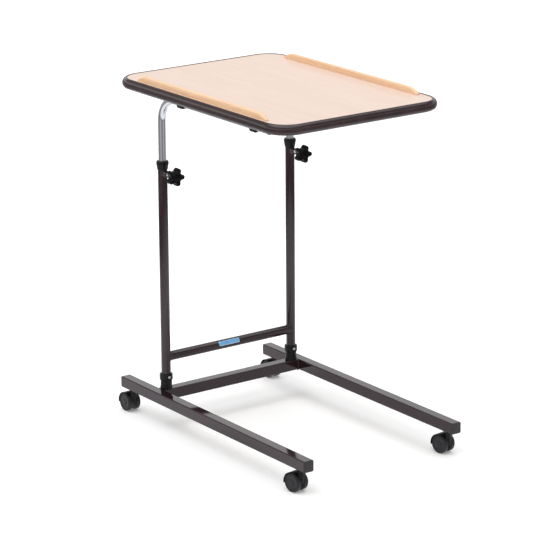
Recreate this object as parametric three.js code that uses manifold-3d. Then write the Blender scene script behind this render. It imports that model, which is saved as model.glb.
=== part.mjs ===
// Wheeled overbed table: H-shaped base on four swivel twin-wheel castors, two posts with
// star-knob clamps, two bent chrome risers and a laminate top with a raised lip on each long side.
// Millimetres, +Z up. X runs across the base, Y along the rails; the open end of the base is -Y.
// The origin is on the floor, at the middle of the bounding box.
import * as THREE from "three";
import { mergeVertices } from "three/addons/utils/BufferGeometryUtils.js";
import Module from "manifold-3d";

const wasm = await Module();
wasm.setup();

// ---------------------------------------------------------------- driving dimensions
const GAP = 0.3; // clearance kept between pieces that touch on the real table

const TOP_WIDTH = 420; // along X, over the edging
const TOP_LENGTH = 600; // along Y, over the edging
const TOP_CENTRE_Y = 26;
const TOP_HEIGHT = 742; // floor to the laminate surface
const TOP_CORNER_RADIUS = 55;
const BOARD_THICKNESS = 18;
const EDGING_HEIGHT = 21;
const EDGING_NOSE = 10.4; // how far the rounded nose stands out from the board

const LIP_LENGTH = 460;
const LIP_WIDTH = 9;
const LIP_HEIGHT = 13; // above the laminate
const LIP_GROOVE = 1; // depth of the groove that each lip stands in
const LIP_OFFSET_X = 188.5;
const LIP_END_SLOPE = 34;
const LIP_ROUNDING = 3;

const RAIL_SIZE = 24;
const RAIL_WALL = 1.5;
const RAIL_CORNER = 2.5;
const RAIL_LENGTH = 670; // over both end caps
const RAIL_OFFSET_X = 189;
const RAIL_CENTRE_Y = -3;
const RAIL_BOTTOM = 50;
const CAP_HEAD = 2;
const CAP_PLUG_LENGTH = 12;

const POST_X = 165;
const POST_Y = 208; // also the centre line of the crossbeam
const POST_RADIUS = 10;
const POST_WALL = 1.5;
const POST_FOOT = 76;
const POST_TOP = 573.5;
const CROSSBAR_HEIGHT = 144;
const TUBE_SIDES = 24;
const SMALL_SIDES = 16; // pins, screws, bores and bosses
const WHEEL_SIDES = 24;

const SOCKET_RING_BOTTOM = 93.7;
const SOCKET_RING_TOP = 107.3;
const STUB_RADIUS = 8.2;
const STUB_HEIGHT = 40;
const LOCK_SCREW_HEIGHT = 100.5;
const LOCK_SCREW_RADIUS = 2.5;
const LOCK_HEAD_RADIUS = 3.4;
const LOCK_SEAT_RADIUS = 5; // the round recess for the screw's head in the sleeve's ring
const LOCK_SEAT_REACH = 11; // from the post axis to the bottom of that recess

const COLLAR_BOTTOM = 557;
const COLLAR_TOP = 576;
const KNOB_HEIGHT = 549.5;
const KNOB_FACE_REACH = 56; // from the post axis to the knob's front face
const KNOB_THICKNESS = 16;
const KNOB_LOBES = 5;
const KNOB_MEAN_RADIUS = 16.4;
const KNOB_LOBE_DEPTH = 3.4;
const KNOB_HUB_RADIUS = 9;
const KNOB_HUB_LENGTH = 8;
const STUD_RADIUS = 4;
const WELD_NUT_RADIUS = 7;
const WELD_NUT_REACH = 20;

const RISER_RADIUS = 8;
const RISER_WALL = 1.5;
const RISER_FOOT = 215;
const RISER_BEND_RADIUS = 52;
const RISER_BEND_STEPS = 12;
const ARM_HEIGHT = 713; // centre line of the horizontal arm
const ARM_FRONT_Y = -178;
const ARM_PLUG_HEAD = 2.5;

const CLIP_YS = [127, -131];
const CLIP_LENGTH = 14;
const CLIP_BODY_HALF = 11.5;
const CLIP_EAR_HALF = 20;
const CLIP_EAR_THICKNESS = 3;
const CLIP_WALL_BELOW = 2;
const CLIP_SLOT = 2.2; // extra travel in the right-hand clips, so that the top can tilt

const STICKER_LENGTH = 53;
const STICKER_CENTRE_X = -6;
const STICKER_THICKNESS = 0.4;
const STICKER_FROM_DEGREES = -2;
const STICKER_TO_DEGREES = 62;

const WHEEL_RADIUS = 20;
const WHEEL_INNER_X = 5;
const WHEEL_OUTER_X = 15.5;
const CASTER_TRAIL = 12;
const CASTER_INSET = 28; // from the end of a rail to the stem
const CASTER_WEB_HALF = 4.6;
const HOOD_INNER = 20.8;
const HOOD_OUTER = 22;
const AXLE_RADIUS = 3;
const STEM_RADIUS = 5;
const STEM_PIN_RADIUS = 3;
const STEM_COLLAR_RADIUS = 7.5;
const STEM_COLLAR_HEIGHT = 2;
const FRONT_CASTER_SWIVEL = THREE.MathUtils.degToRad(9);

// ---------------------------------------------------------------- materials
const finish = {
  lacquer: { color: 0x2e2225, roughness: 0.25, metalness: 0.3 },
  chrome: { color: 0xc9ccd0, roughness: 0.12, metalness: 1.0 },
  zinc: { color: 0xb8babd, roughness: 0.35, metalness: 1.0 },
  blackPlastic: { color: 0x1c1c1d, roughness: 0.5, metalness: 0.0 },
  nylon: { color: 0xd9d6cc, roughness: 0.55, metalness: 0.0 },
  laminate: { color: 0xf5e3d3, roughness: 0.4, metalness: 0.0 },
  edging: { color: 0x463a3c, roughness: 0.4, metalness: 0.0 },
  beech: { color: 0xe6b384, roughness: 0.45, metalness: 0.0 },
  sticker: { color: 0x6fa9dd, roughness: 0.5, metalness: 0.0 },
};

// ---------------------------------------------------------------- helpers
function toSolid(geometry) {
  const plain = geometry.index ? geometry.toNonIndexed() : geometry.clone();
  plain.deleteAttribute("normal");
  plain.deleteAttribute("uv");
  const merged = mergeVertices(plain, 1e-4);
  return new wasm.Manifold(
    new wasm.Mesh({
      numProp: 3,
      vertProperties: merged.attributes.position.array,
      triVerts: new Uint32Array(merged.index.array),
    }),
  );
}

function toGeometry(solid) {
  const mesh = solid.getMesh();
  const geometry = new THREE.BufferGeometry();
  geometry.setAttribute("position", new THREE.BufferAttribute(mesh.vertProperties, 3));
  geometry.setIndex(new THREE.BufferAttribute(mesh.triVerts, 1));
  geometry.computeVertexNormals();
  return geometry;
}

// Joins the first geometries and takes the cutters away.
function carve(bodies, cutters) {
  let solid = toSolid(bodies[0]);
  for (const body of bodies.slice(1)) {
    solid = solid.add(toSolid(body));
  }
  for (const cutter of cutters) {
    solid = solid.subtract(toSolid(cutter));
  }
  return toGeometry(solid);
}

// A piece turned about +Z, from [radius, z] points that run anticlockwise.
function turned(points, sides = TUBE_SIDES) {
  const profile = points.map(([r, z]) => new THREE.Vector2(r, z));
  if (points[0][0] > 0) {
    profile.push(profile[0].clone());
  }
  return new THREE.LatheGeometry(profile, sides).rotateX(Math.PI / 2);
}

function rod(radius, from, to, sides = TUBE_SIDES) {
  const points = [
    [0, from],
    [radius, from],
    [radius, to],
    [0, to],
  ];
  return turned(points, sides);
}

function pipe(outer, inner, from, to, sides = TUBE_SIDES) {
  const points = [
    [inner, from],
    [outer, from],
    [outer, to],
    [inner, to],
  ];
  return turned(points, sides);
}

// Turns a piece made about +Z so that its +Z end points towards -Y.
function towardsFront(geometry) {
  return geometry.rotateX(Math.PI / 2);
}

function alongX(geometry) {
  return geometry.rotateY(Math.PI / 2);
}

function roundedRectangle(width, length, radius) {
  const x = width / 2 - radius;
  const y = length / 2 - radius;
  const shape = new THREE.Shape();
  shape.absarc(x, y, radius, 0, Math.PI / 2);
  shape.absarc(-x, y, radius, Math.PI / 2, Math.PI);
  shape.absarc(-x, -y, radius, Math.PI, Math.PI * 1.5);
  shape.absarc(x, -y, radius, Math.PI * 1.5, Math.PI * 2);
  shape.closePath();
  return shape;
}

function prism(shape, depth, curveSegments = 8) {
  return new THREE.ExtrudeGeometry(shape, { depth, bevelEnabled: false, curveSegments });
}

// A prism whose two rims are rounded; the outline keeps its size and the height is exact.
function roundedPrism(shape, height, rounding, bevelSegments, curveSegments = 8) {
  const geometry = new THREE.ExtrudeGeometry(shape, {
    depth: height - 2 * rounding,
    bevelThickness: rounding,
    bevelSize: rounding,
    bevelOffset: -rounding,
    bevelSegments,
    curveSegments,
  });
  return geometry.translate(0, 0, rounding);
}

function ringShape(outer, inner) {
  const shape = new THREE.Shape();
  shape.absarc(0, 0, outer, 0, Math.PI * 2);
  const hole = new THREE.Path();
  hole.absarc(0, 0, inner, 0, Math.PI * 2, true);
  shape.holes.push(hole);
  return shape;
}

function sectorShape(inner, outer, fromDegrees, toDegrees) {
  const from = THREE.MathUtils.degToRad(fromDegrees);
  const to = THREE.MathUtils.degToRad(toDegrees);
  const shape = new THREE.Shape();
  shape.absarc(0, 0, outer, from, to);
  if (inner > 0) {
    shape.absarc(0, 0, inner, to, from, true);
  } else {
    shape.lineTo(0, 0);
  }
  shape.closePath();
  return shape;
}

// Extrudes a shape drawn in (Y, Z) along X, centred on x = 0.
function acrossX(shape, width, curveSegments) {
  const geometry = prism(shape, width, curveSegments).translate(0, 0, -width / 2);
  return geometry.rotateX(Math.PI / 2).rotateZ(Math.PI / 2);
}

const table = new THREE.Group();

function place(parent, name, geometry, look, x = 0, y = 0, z = 0) {
  const mesh = new THREE.Mesh(geometry, new THREE.MeshStandardMaterial(look));
  mesh.name = name;
  mesh.position.set(x, y, z);
  parent.add(mesh);
  return mesh;
}

const sides = [
  { side: "left", sign: -1 },
  { side: "right", sign: 1 },
];

// ---------------------------------------------------------------- base frame
function squareTube(length) {
  const shape = roundedRectangle(RAIL_SIZE, RAIL_SIZE, RAIL_CORNER);
  const bore = RAIL_SIZE - 2 * RAIL_WALL;
  const hole = roundedRectangle(bore, bore, RAIL_CORNER - RAIL_WALL);
  shape.holes.push(hole);
  return prism(shape, length, 3).translate(0, 0, -length / 2);
}

function rail() {
  const length = RAIL_LENGTH - 2 * (CAP_HEAD + GAP);
  const tube = squareTube(length).rotateX(Math.PI / 2);
  const stemHoles = [-1, 1].map((end) => {
    const y = end * (RAIL_LENGTH / 2 - CASTER_INSET);
    const hole = rod(STEM_RADIUS + GAP, -RAIL_SIZE / 2 - 1, 0, SMALL_SIDES);
    return hole.translate(0, y, 0);
  });
  return carve([tube], stemHoles);
}

// A push-in cap; its head faces +Y and the plug goes into the tube towards -Y.
function endCap() {
  const head = roundedPrism(roundedRectangle(RAIL_SIZE, RAIL_SIZE, RAIL_CORNER), CAP_HEAD, 0.7, 2, 2);
  const plugSize = RAIL_SIZE - 2 * (RAIL_WALL + GAP);
  const plug = prism(roundedRectangle(plugSize, plugSize, 1), CAP_PLUG_LENGTH + 1, 3);
  plug.translate(0, 0, -CAP_PLUG_LENGTH);
  const hollowSize = plugSize - 4;
  const hollow = prism(roundedRectangle(hollowSize, hollowSize, 1), CAP_PLUG_LENGTH, 3);
  hollow.translate(0, 0, -CAP_PLUG_LENGTH - 0.5);
  return carve([head, plug], [hollow]).rotateX(-Math.PI / 2);
}

function buildBase() {
  const railZ = RAIL_BOTTOM + RAIL_SIZE / 2;
  for (const { side, sign } of sides) {
    const x = sign * RAIL_OFFSET_X;
    place(table, `${side}_rail`, rail(), finish.lacquer, x, RAIL_CENTRE_Y, railZ);
    for (const [end, direction] of [["front", -1], ["rear", 1]]) {
      const y = RAIL_CENTRE_Y + direction * (RAIL_LENGTH / 2 - CAP_HEAD);
      const cap = place(table, `${side}_${end}_end_cap`, endCap(), finish.blackPlastic, x, y, railZ);
      cap.rotation.z = direction < 0 ? Math.PI : 0;
    }
  }
  const beamLength = 2 * (RAIL_OFFSET_X - RAIL_SIZE / 2 - GAP);
  place(table, "crossbeam", alongX(squareTube(beamLength)), finish.lacquer, 0, POST_Y, railZ);
}

// ---------------------------------------------------------------- post sockets
function socketSleeve(foot) {
  const inner = POST_RADIUS + GAP;
  const shell = turned([
    [inner, foot],
    [13.2, foot],
    [13, foot + 2.5],
    [12.2, foot + 7],
    [12, SOCKET_RING_BOTTOM - 1.5],
    [13.2, SOCKET_RING_BOTTOM - 0.5],
    [14, SOCKET_RING_BOTTOM + 1],
    [14, SOCKET_RING_TOP - 1.5],
    [13, SOCKET_RING_TOP],
    [inner, SOCKET_RING_TOP],
  ]);
  const seat = towardsFront(rod(LOCK_SEAT_RADIUS, LOCK_SEAT_REACH, 2 * LOCK_SEAT_REACH));
  seat.translate(0, 0, LOCK_SCREW_HEIGHT);
  const screwHole = towardsFront(rod(LOCK_SCREW_RADIUS + GAP, 0, 2 * LOCK_SEAT_REACH, SMALL_SIDES));
  screwHole.translate(0, 0, LOCK_SCREW_HEIGHT);
  return carve([shell], [seat, screwHole]);
}

function lockScrew() {
  const headFrom = LOCK_SEAT_REACH + GAP;
  const screw = turned(
    [
      [0, STUB_RADIUS - 3],
      [LOCK_SCREW_RADIUS, STUB_RADIUS - 3],
      [LOCK_SCREW_RADIUS, headFrom],
      [LOCK_HEAD_RADIUS, headFrom],
      [LOCK_HEAD_RADIUS, headFrom + 1],
      [LOCK_HEAD_RADIUS - 1, headFrom + 1.9],
      [0, headFrom + 2.2],
    ],
    SMALL_SIDES,
  );
  return towardsFront(screw);
}

function socketStub(from) {
  const stub = pipe(STUB_RADIUS, STUB_RADIUS - 1.5, from, from + STUB_HEIGHT);
  const screwHole = towardsFront(rod(LOCK_SCREW_RADIUS + GAP, 0, 2 * STUB_RADIUS, SMALL_SIDES));
  return carve([stub], [screwHole.translate(0, 0, LOCK_SCREW_HEIGHT)]);
}

function post() {
  const tube = pipe(POST_RADIUS, POST_RADIUS - POST_WALL, POST_FOOT, POST_TOP);
  const lockHole = towardsFront(rod(LOCK_SCREW_RADIUS + GAP, 0, 2 * POST_RADIUS, SMALL_SIDES));
  lockHole.translate(0, 0, LOCK_SCREW_HEIGHT);
  const studHole = towardsFront(rod(STUD_RADIUS + GAP, 0, 2 * POST_RADIUS, SMALL_SIDES));
  studHole.translate(0, 0, KNOB_HEIGHT);
  return carve([tube], [lockHole, studHole]);
}

// A threaded boss welded to the post; its seat is cut to the round of the tube.
function weldNut() {
  const body = towardsFront(pipe(WELD_NUT_RADIUS, STUD_RADIUS + GAP, 4, WELD_NUT_REACH, SMALL_SIDES));
  const seat = rod(POST_RADIUS + GAP, -12, 12);
  return carve([body], [seat]);
}

function collar() {
  const post = POST_RADIUS + GAP;
  const riser = RISER_RADIUS + GAP;
  return turned([
    [post, COLLAR_BOTTOM],
    [10.9, COLLAR_BOTTOM],
    [12.4, COLLAR_BOTTOM + 9],
    [13.1, COLLAR_BOTTOM + 12],
    [13.1, COLLAR_TOP - 3.2],
    [12.4, COLLAR_TOP - 1],
    [11, COLLAR_TOP],
    [riser, COLLAR_TOP],
    [riser, POST_TOP + GAP],
    [post, POST_TOP + GAP],
  ]);
}

function crossbar() {
  const length = 2 * POST_X;
  const tube = alongX(pipe(POST_RADIUS, POST_RADIUS - POST_WALL, -length / 2, length / 2));
  const copes = sides.map(({ sign }) => rod(POST_RADIUS + GAP, -15, 15).translate(sign * POST_X, 0, 0));
  const middle = toSolid(carve([tube], copes)).decompose();
  middle.sort((a, b) => b.volume() - a.volume());
  return toGeometry(middle[0]);
}

function sticker() {
  const inner = POST_RADIUS + GAP;
  const shape = sectorShape(
    inner,
    inner + STICKER_THICKNESS,
    180 - STICKER_TO_DEGREES,
    180 - STICKER_FROM_DEGREES,
  );
  return acrossX(shape, STICKER_LENGTH, 12);
}

function buildPosts() {
  const deck = RAIL_BOTTOM + RAIL_SIZE + GAP;
  for (const { side, sign } of sides) {
    const x = sign * POST_X;
    place(table, `${side}_socket_stub`, socketStub(deck), finish.lacquer, x, POST_Y);
    place(table, `${side}_socket_sleeve`, socketSleeve(deck), finish.blackPlastic, x, POST_Y);
    place(table, `${side}_lock_screw`, lockScrew(), finish.zinc, x, POST_Y, LOCK_SCREW_HEIGHT);
    place(table, `${side}_post`, post(), finish.lacquer, x, POST_Y);
    place(table, `${side}_post_collar`, collar(), finish.blackPlastic, x, POST_Y);
    place(table, `${side}_weld_nut`, weldNut(), finish.lacquer, x, POST_Y, KNOB_HEIGHT);
  }
  place(table, "mid_crossbar", crossbar(), finish.lacquer, 0, POST_Y, CROSSBAR_HEIGHT);
  place(table, "blank_sticker", sticker(), finish.sticker, STICKER_CENTRE_X, POST_Y, CROSSBAR_HEIGHT);
}

// ---------------------------------------------------------------- clamp knobs
function clampStud() {
  const tip = RISER_RADIUS + GAP;
  const end = KNOB_FACE_REACH - KNOB_THICKNESS + 8;
  const stud = turned(
    [
      [0, tip],
      [STUD_RADIUS - 1, tip],
      [STUD_RADIUS, tip + 1],
      [STUD_RADIUS, end],
      [0, end],
    ],
    SMALL_SIDES,
  );
  return towardsFront(stud);
}

function knob() {
  const points = [];
  const steps = 8 * KNOB_LOBES;
  for (let i = 0; i < steps; i += 1) {
    const angle = (i / steps) * Math.PI * 2;
    const wave = Math.cos(KNOB_LOBES * angle);
    const radius = KNOB_MEAN_RADIUS + KNOB_LOBE_DEPTH * (wave + 0.12 * (1 - wave * wave));
    points.push(new THREE.Vector2(radius * Math.cos(angle), radius * Math.sin(angle)));
  }
  const star = roundedPrism(new THREE.Shape(points), KNOB_THICKNESS, 2, 2);
  star.translate(0, 0, KNOB_FACE_REACH - KNOB_THICKNESS);
  const hubFrom = KNOB_FACE_REACH - KNOB_THICKNESS - KNOB_HUB_LENGTH;
  const hub = rod(KNOB_HUB_RADIUS, hubFrom, KNOB_FACE_REACH - 4, SMALL_SIDES);
  const bore = rod(STUD_RADIUS + GAP, hubFrom - 1, KNOB_FACE_REACH - KNOB_THICKNESS + 8 + GAP, SMALL_SIDES);
  return towardsFront(carve([star, hub], [bore]));
}

function buildClamps() {
  for (const { side, sign } of sides) {
    const x = sign * POST_X;
    place(table, `${side}_clamp_stud`, clampStud(), finish.zinc, x, POST_Y, KNOB_HEIGHT);
    const star = place(table, `${side}_clamp_knob`, knob(), finish.blackPlastic, x, POST_Y, KNOB_HEIGHT);
    star.rotation.y = THREE.MathUtils.degToRad(4);
  }
}

// ---------------------------------------------------------------- risers
// Up from the foot, round the bend and along the arm, with stations only where they are needed.
class RiserPath extends THREE.Curve {
  constructor() {
    super();
    this.steps = RISER_BEND_STEPS + 2;
  }

  station(t) {
    const index = t * this.steps;
    const angle = (Math.PI / 2) * THREE.MathUtils.clamp((index - 1) / RISER_BEND_STEPS, 0, 1);
    const y = -RISER_BEND_RADIUS * (1 - Math.cos(angle));
    const z = ARM_HEIGHT - RISER_BEND_RADIUS * (1 - Math.sin(angle));
    const point = new THREE.Vector3(0, y, z);
    if (index < 0.5) {
      point.z = RISER_FOOT;
    }
    if (index > this.steps - 0.5) {
      point.y = ARM_FRONT_Y - POST_Y;
    }
    return { point, tangent: new THREE.Vector3(0, -Math.sin(angle), Math.cos(angle)) };
  }

  getPoint(t) {
    return this.station(t).point;
  }

  getPointAt(t) {
    return this.station(t).point;
  }

  getTangentAt(t) {
    return this.station(t).tangent;
  }
}

function riser() {
  const path = new RiserPath();
  const section = ringShape(RISER_RADIUS, RISER_RADIUS - RISER_WALL);
  return new THREE.ExtrudeGeometry(section, { steps: path.steps, extrudePath: path, curveSegments: 12 });
}

function armPlug() {
  const plug = RISER_RADIUS - RISER_WALL - GAP;
  return towardsFront(
    turned([
      [0, -10],
      [plug, -10],
      [plug, GAP],
      [RISER_RADIUS - 0.1, GAP],
      [RISER_RADIUS - 0.1, GAP + 1],
      [RISER_RADIUS - 1.6, GAP + ARM_PLUG_HEAD - 0.4],
      [0, GAP + ARM_PLUG_HEAD],
    ]),
  );
}

function footBush() {
  const plug = RISER_RADIUS - RISER_WALL - GAP;
  const flange = POST_RADIUS - POST_WALL - GAP;
  return turned([
    [0, -6 - GAP],
    [flange - 1, -6 - GAP],
    [flange, -5 - GAP],
    [flange, -GAP],
    [plug, -GAP],
    [plug, 12],
    [0, 12],
  ]);
}

function buildRisers() {
  for (const { side, sign } of sides) {
    const x = sign * POST_X;
    place(table, `${side}_riser`, riser(), finish.chrome, x, POST_Y);
    place(table, `${side}_arm_plug`, armPlug(), finish.blackPlastic, x, ARM_FRONT_Y, ARM_HEIGHT);
    place(table, `${side}_foot_bush`, footBush(), finish.nylon, x, POST_Y, RISER_FOOT);
  }
}

// ---------------------------------------------------------------- table top
function board() {
  const inset = 2 * (EDGING_NOSE + GAP);
  const corner = TOP_CORNER_RADIUS - inset / 2;
  const shape = roundedRectangle(TOP_WIDTH - inset, TOP_LENGTH - inset, corner);
  const grooves = sides.map(({ sign }) => {
    const groove = new THREE.BoxGeometry(LIP_WIDTH + 2 * GAP, LIP_LENGTH + 2 * GAP, 2 * LIP_GROOVE);
    return groove.translate(sign * LIP_OFFSET_X, 0, BOARD_THICKNESS);
  });
  return carve([prism(shape, BOARD_THICKNESS)], grooves);
}

function edging() {
  const outline = roundedRectangle(TOP_WIDTH, TOP_LENGTH, TOP_CORNER_RADIUS);
  const slab = roundedPrism(outline, EDGING_HEIGHT, EDGING_NOSE, 5);
  const inset = 2 * EDGING_NOSE;
  const corner = TOP_CORNER_RADIUS - EDGING_NOSE;
  const hole = prism(roundedRectangle(TOP_WIDTH - inset, TOP_LENGTH - inset, corner), EDGING_HEIGHT + 2);
  return carve([slab], [hole.translate(0, 0, -1)]);
}

// Drawn with the laminate surface at height 0; its foot stands in the groove.
function lip() {
  const half = LIP_LENGTH / 2;
  const foot = GAP - LIP_GROOVE;
  const shape = new THREE.Shape();
  shape.moveTo(-half, foot - LIP_ROUNDING);
  shape.lineTo(half, foot - LIP_ROUNDING);
  shape.lineTo(half, 2);
  shape.quadraticCurveTo(half - 0.45 * LIP_END_SLOPE, LIP_HEIGHT, half - LIP_END_SLOPE, LIP_HEIGHT);
  shape.lineTo(-half + LIP_END_SLOPE, LIP_HEIGHT);
  shape.quadraticCurveTo(-half + 0.45 * LIP_END_SLOPE, LIP_HEIGHT, -half, 2);
  shape.closePath();
  const bar = roundedPrism(shape, LIP_WIDTH, LIP_ROUNDING, 3, 8).translate(0, 0, -LIP_WIDTH / 2);
  const below = new THREE.BoxGeometry(LIP_LENGTH + 20, 20, LIP_WIDTH + 10).translate(0, foot - 10, 0);
  return carve([bar], [below]).rotateX(Math.PI / 2).rotateZ(Math.PI / 2);
}

// A saddle clip that wraps the arm; slot lengthens its bore sideways, towards +X.
function tubeClip(slot) {
  const top = TOP_HEIGHT - BOARD_THICKNESS - GAP - ARM_HEIGHT;
  const bore = RISER_RADIUS + GAP;
  const bottom = -(bore + CLIP_WALL_BELOW);
  const shape = new THREE.Shape();
  shape.moveTo(-CLIP_EAR_HALF, top);
  shape.lineTo(-CLIP_EAR_HALF, top - CLIP_EAR_THICKNESS);
  shape.lineTo(-CLIP_BODY_HALF, top - CLIP_EAR_THICKNESS);
  shape.lineTo(-CLIP_BODY_HALF, bottom + 6);
  shape.quadraticCurveTo(-CLIP_BODY_HALF, bottom, -CLIP_BODY_HALF + 7, bottom);
  shape.lineTo(CLIP_BODY_HALF + slot - 7, bottom);
  shape.quadraticCurveTo(CLIP_BODY_HALF + slot, bottom, CLIP_BODY_HALF + slot, bottom + 6);
  shape.lineTo(CLIP_BODY_HALF + slot, top - CLIP_EAR_THICKNESS);
  shape.lineTo(CLIP_EAR_HALF + slot, top - CLIP_EAR_THICKNESS);
  shape.lineTo(CLIP_EAR_HALF + slot, top);
  shape.closePath();
  const hole = new THREE.Path();
  hole.absarc(slot, 0, bore, Math.PI / 2, -Math.PI / 2, true);
  hole.absarc(0, 0, bore, -Math.PI / 2, Math.PI / 2, true);
  shape.holes.push(hole);
  return prism(shape, CLIP_LENGTH, 12).translate(0, 0, -CLIP_LENGTH / 2).rotateX(Math.PI / 2);
}

function buildTop() {
  const boardZ = TOP_HEIGHT - BOARD_THICKNESS;
  const edgingZ = TOP_HEIGHT - EDGING_HEIGHT;
  place(table, "table_top_board", board(), finish.laminate, 0, TOP_CENTRE_Y, boardZ);
  place(table, "edging_strip", edging(), finish.edging, 0, TOP_CENTRE_Y, edgingZ);
  for (const { side, sign } of sides) {
    const lipX = sign * LIP_OFFSET_X;
    place(table, `${side}_lip`, lip(), finish.beech, lipX, TOP_CENTRE_Y, TOP_HEIGHT);
    CLIP_YS.forEach((y, index) => {
      const name = `${side}_${index ? "front" : "rear"}_tube_clip`;
      const slot = sign > 0 ? CLIP_SLOT : 0;
      place(table, name, tubeClip(slot), finish.blackPlastic, sign * POST_X, y, ARM_HEIGHT);
    });
  }
}

// ---------------------------------------------------------------- castors
function casterStem() {
  const collarTop = RAIL_BOTTOM - GAP;
  return turned(
    [
      [0, 30],
      [STEM_PIN_RADIUS, 30],
      [STEM_PIN_RADIUS, collarTop - STEM_COLLAR_HEIGHT],
      [STEM_COLLAR_RADIUS, collarTop - STEM_COLLAR_HEIGHT],
      [STEM_COLLAR_RADIUS, collarTop],
      [STEM_RADIUS, collarTop],
      [STEM_RADIUS, RAIL_BOTTOM + 17],
      [STEM_RADIUS - 1, RAIL_BOTTOM + 18.5],
      [0, RAIL_BOTTOM + 18.5],
    ],
    SMALL_SIDES,
  );
}

// Hood, web and stem boss in one moulding, drawn about the axle.
function casterHousing() {
  const width = 2 * WHEEL_OUTER_X;
  const hood = acrossX(sectorShape(HOOD_INNER, HOOD_OUTER, -12, 128), width, 8);
  const web = acrossX(sectorShape(0, HOOD_INNER + 0.7, -12, 150), 2 * CASTER_WEB_HALF, 8);
  const hub = alongX(rod(9, -CASTER_WEB_HALF, CASTER_WEB_HALF, SMALL_SIDES));
  const bossTop = RAIL_BOTTOM - 2 * GAP - STEM_COLLAR_HEIGHT - WHEEL_RADIUS;
  const boss = rod(STEM_COLLAR_RADIUS, 0, bossTop, SMALL_SIDES).translate(0, -CASTER_TRAIL, 0);
  const wells = [-1, 1].map((sign) => {
    const from = sign > 0 ? CASTER_WEB_HALF : -width;
    return alongX(rod(HOOD_INNER, from, from + width - CASTER_WEB_HALF, WHEEL_SIDES));
  });
  const stemBore = rod(STEM_PIN_RADIUS + GAP, 30 - WHEEL_RADIUS - GAP, 40, SMALL_SIDES);
  const axleBore = alongX(rod(AXLE_RADIUS + GAP, -width, width, SMALL_SIDES));
  return carve([hood, web, hub, boss], [...wells, stemBore.translate(0, -CASTER_TRAIL, 0), axleBore]);
}

// One wheel, drawn on the +X side of the web, with a dished outer face.
function casterWheel() {
  const bore = AXLE_RADIUS + GAP;
  return alongX(
    turned(
      [
        [bore, WHEEL_INNER_X],
        [WHEEL_RADIUS - 1.2, WHEEL_INNER_X],
        [WHEEL_RADIUS, WHEEL_INNER_X + 1.5],
        [WHEEL_RADIUS, WHEEL_OUTER_X - 3],
        [WHEEL_RADIUS - 0.9, WHEEL_OUTER_X - 0.9],
        [WHEEL_RADIUS - 3, WHEEL_OUTER_X],
        [WHEEL_RADIUS - 4.2, WHEEL_OUTER_X - 1.2],
        [bore, WHEEL_OUTER_X - 1.2],
      ],
      WHEEL_SIDES,
    ),
  );
}

function casterAxle() {
  return alongX(rod(AXLE_RADIUS, -WHEEL_OUTER_X + 0.8, WHEEL_OUTER_X - 0.8, SMALL_SIDES));
}

function buildCaster(name, x, y, swivel) {
  const caster = new THREE.Group();
  caster.position.set(x, y, 0);
  caster.rotation.z = swivel;
  table.add(caster);
  place(caster, `${name}_stem`, casterStem(), finish.zinc);
  place(caster, `${name}_housing`, casterHousing(), finish.blackPlastic, 0, CASTER_TRAIL, WHEEL_RADIUS);
  place(caster, `${name}_axle`, casterAxle(), finish.zinc, 0, CASTER_TRAIL, WHEEL_RADIUS);
  const outboard = casterWheel();
  const inboard = outboard.clone().rotateZ(Math.PI);
  place(caster, `${name}_wheel_a`, inboard, finish.blackPlastic, 0, CASTER_TRAIL, WHEEL_RADIUS);
  place(caster, `${name}_wheel_b`, outboard, finish.blackPlastic, 0, CASTER_TRAIL, WHEEL_RADIUS);
}

function buildCasters() {
  for (const { side, sign } of sides) {
    const x = sign * RAIL_OFFSET_X;
    const reach = RAIL_LENGTH / 2 - CASTER_INSET;
    buildCaster(`${side}_front_caster`, x, RAIL_CENTRE_Y - reach, FRONT_CASTER_SWIVEL);
    buildCaster(`${side}_rear_caster`, x, RAIL_CENTRE_Y + reach, 0);
  }
}

buildBase();
buildPosts();
buildClamps();
buildRisers();
buildTop();
buildCasters();

export default table;
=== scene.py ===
"""Looks of a wheeled overbed table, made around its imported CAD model.

Lengths are millimetres until a mesh is made; the axes and the origin are the CAD model's.
"""

from math import atan2, ceil, cos, degrees, pi, radians, sin, sqrt, tan, tanh

import bmesh
import bpy
from mathutils import Matrix, Vector


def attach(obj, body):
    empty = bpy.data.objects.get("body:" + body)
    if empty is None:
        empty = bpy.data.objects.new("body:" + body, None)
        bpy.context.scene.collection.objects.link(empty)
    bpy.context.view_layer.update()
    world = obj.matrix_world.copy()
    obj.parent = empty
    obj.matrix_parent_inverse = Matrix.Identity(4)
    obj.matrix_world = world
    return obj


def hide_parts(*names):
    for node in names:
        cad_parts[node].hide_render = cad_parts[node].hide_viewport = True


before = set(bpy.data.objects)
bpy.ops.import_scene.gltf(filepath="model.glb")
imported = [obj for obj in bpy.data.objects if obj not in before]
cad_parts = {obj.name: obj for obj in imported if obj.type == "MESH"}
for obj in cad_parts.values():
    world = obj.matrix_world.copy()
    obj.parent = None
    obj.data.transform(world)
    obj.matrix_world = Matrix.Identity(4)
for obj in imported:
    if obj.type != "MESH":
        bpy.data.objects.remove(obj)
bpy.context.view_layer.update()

MM = 0.001
TURN = 2 * pi

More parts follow.
